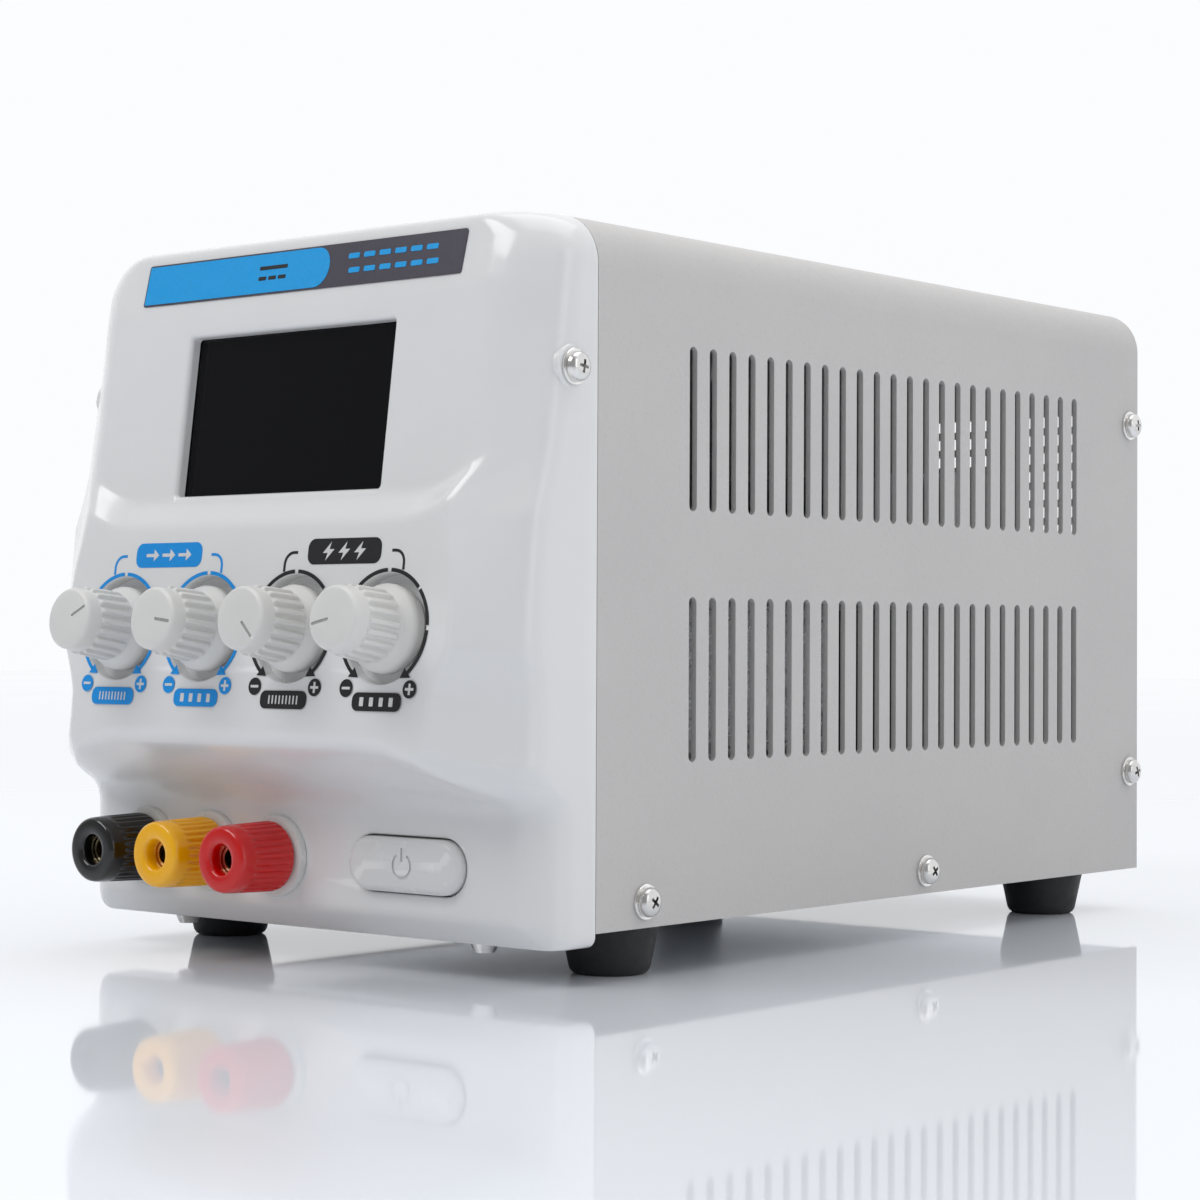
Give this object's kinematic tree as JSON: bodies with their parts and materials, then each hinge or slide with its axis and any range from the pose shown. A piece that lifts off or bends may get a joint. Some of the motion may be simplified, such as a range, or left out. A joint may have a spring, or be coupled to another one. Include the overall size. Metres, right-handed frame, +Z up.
{
  "type": "bench power supply",
  "caption": "Box-shaped adjustable bench power supply with a sculpted front, screen, turning knobs, screw terminals and a push button.",
  "frame": {"origin": "centre of the footprint on the surface that the feet stand on", "axes": "+Z up, the front faces -Y, +X to the right of a person facing the front"},
  "size_m": [0.1362, 0.2532, 0.1457],
  "materials": {
    "cover_paint": "fine textured enamel",
    "zinc_sheet": "zinc plated",
    "bezel_white": "gloss moulded",
    "screen_glass": "polished",
    "screen_module": "matte",
    "circuit_board": "solder mask",
    "nameplate_film": "printed film",
    "knob_ivory": "satin moulded",
    "steel_bright": "nickel plated",
    "brass_plated": "machined",
    "insulator_white": "translucent nylon",
    "cap_black": "gloss moulded",
    "cap_yellow": "gloss moulded",
    "cap_red": "gloss moulded",
    "button_white": "gloss moulded",
    "rubber_black": "satin",
    "black_plastic": "moulded",
    "core_steel": "varnished laminations",
    "winding_tape": "polyester tape",
    "relay_blue": "moulded",
    "sink_aluminium": "extruded",
    "lead_insulation": "pvc"
  },
  "bodies": {
    "chassis": {"base_tray": "zinc_sheet", "board_posts": "brass_plated", "board_screws": "steel_bright", "bridge_rectifier": "black_plastic", "button_spring": "steel_bright", "case_screws": "steel_bright", "case_washers": "steel_bright", "control_board": "circuit_board", "display_module": "screen_module", "display_window": "screen_glass", "filter_capacitors": "black_plastic", "foot_front_left": "rubber_black", "foot_front_right": "rubber_black", "foot_rear_left": "rubber_black", "foot_rear_right": "rubber_black", "front_bezel": "bezel_white", "front_plate": "zinc_sheet", "fuse_carrier": "black_plastic", "fuse_holder": "black_plastic", "heat_sink": "sink_aluminium", "inlet_blades": "steel_bright", "main_board": "circuit_board", "mains_inlet": "black_plastic", "nameplate": "nameplate_film", "output_leads": "lead_insulation", "pass_transistor": "black_plastic", "post_insulators": "insulator_white", "post_nuts": "steel_bright", "post_studs": "brass_plated", "potentiometer_current_coarse": "steel_bright", "potentiometer_current_fine": "steel_bright", "potentiometer_nuts": "steel_bright", "potentiometer_voltage_coarse": "steel_bright", "potentiometer_voltage_fine": "steel_bright", "power_switch": "black_plastic", "rear_panel": "cover_paint", "rear_screws": "steel_bright", "solder_lugs": "steel_bright", "tap_relays": "relay_blue", "top_cover": "cover_paint", "transformer_core": "core_steel", "transformer_frame": "zinc_sheet", "transformer_screws": "steel_bright", "transformer_winding": "winding_tape", "under_screws": "steel_bright"},
    "current_fine_knob": {"knob_current_fine": "knob_ivory", "shaft_current_fine": "sink_aluminium"},
    "current_coarse_knob": {"knob_current_coarse": "knob_ivory", "shaft_current_coarse": "sink_aluminium"},
    "voltage_fine_knob": {"knob_voltage_fine": "knob_ivory", "shaft_voltage_fine": "sink_aluminium"},
    "voltage_coarse_knob": {"knob_voltage_coarse": "knob_ivory", "shaft_voltage_coarse": "sink_aluminium"},
    "negative_insert": {"insert_negative": "brass_plated"},
    "negative_cap": {"cap_negative": "cap_black"},
    "earth_insert": {"insert_earth": "brass_plated"},
    "earth_cap": {"cap_earth": "cap_yellow"},
    "positive_insert": {"insert_positive": "brass_plated"},
    "positive_cap": {"cap_positive": "cap_red"},
    "button": {"power_button": "button_white"}
  },
  "joints": [
    {"name": "current_fine_turn", "type": "hinge", "parent": "chassis", "child": "current_fine_knob", "pos_m": [-0.03728, -0.11227, 0.0669], "axis": [0, -0.9903, 0.1387], "range_deg": [-88, 212]},
    {"name": "current_coarse_turn", "type": "hinge", "parent": "chassis", "child": "current_coarse_knob", "pos_m": [-0.01243, -0.11227, 0.0669], "axis": [0, -0.9903, 0.1387], "range_deg": [-53, 247]},
    {"name": "voltage_fine_turn", "type": "hinge", "parent": "chassis", "child": "voltage_fine_knob", "pos_m": [0.01243, -0.11227, 0.0669], "axis": [0, -0.9903, 0.1387], "range_deg": [-17, 283]},
    {"name": "voltage_coarse_turn", "type": "hinge", "parent": "chassis", "child": "voltage_coarse_knob", "pos_m": [0.03728, -0.11227, 0.0669], "axis": [0, -0.9903, 0.1387], "range_deg": [-253, 47]},
    {"name": "negative_lift", "type": "slide", "parent": "chassis", "child": "negative_insert", "axis": [0, -1, 0], "range_m": [0, 0.005]},
    {"name": "negative_unscrew", "type": "hinge", "parent": "negative_insert", "child": "negative_cap", "pos_m": [-0.04415, -0.098, 0.0215], "axis": [0, -1, 0], "range_deg": [0, 1800]},
    {"name": "earth_lift", "type": "slide", "parent": "chassis", "child": "earth_insert", "axis": [0, -1, 0], "range_m": [0, 0.005]},
    {"name": "earth_unscrew", "type": "hinge", "parent": "earth_insert", "child": "earth_cap", "pos_m": [-0.02485, -0.098, 0.0215], "axis": [0, -1, 0], "range_deg": [0, 1800]},
    {"name": "positive_lift", "type": "slide", "parent": "chassis", "child": "positive_insert", "axis": [0, -1, 0], "range_m": [0, 0.005]},
    {"name": "positive_unscrew", "type": "hinge", "parent": "positive_insert", "child": "positive_cap", "pos_m": [-0.00555, -0.098, 0.0215], "axis": [0, -1, 0], "range_deg": [0, 1800]},
    {"name": "button_press", "type": "slide", "parent": "chassis", "child": "button", "axis": [0, 1, 0], "range_m": [0, 0.0035], "stiffness_N_per_m": 350, "springref_m": -0.004, "deforming": ["button_spring"]}
  ],
  "couplings": [
    {"joint": "negative_unscrew", "follows": "negative_lift", "rad_per_m": 6283.2},
    {"joint": "earth_unscrew", "follows": "earth_lift", "rad_per_m": 6283.2},
    {"joint": "positive_unscrew", "follows": "positive_lift", "rad_per_m": 6283.2}
  ]
}
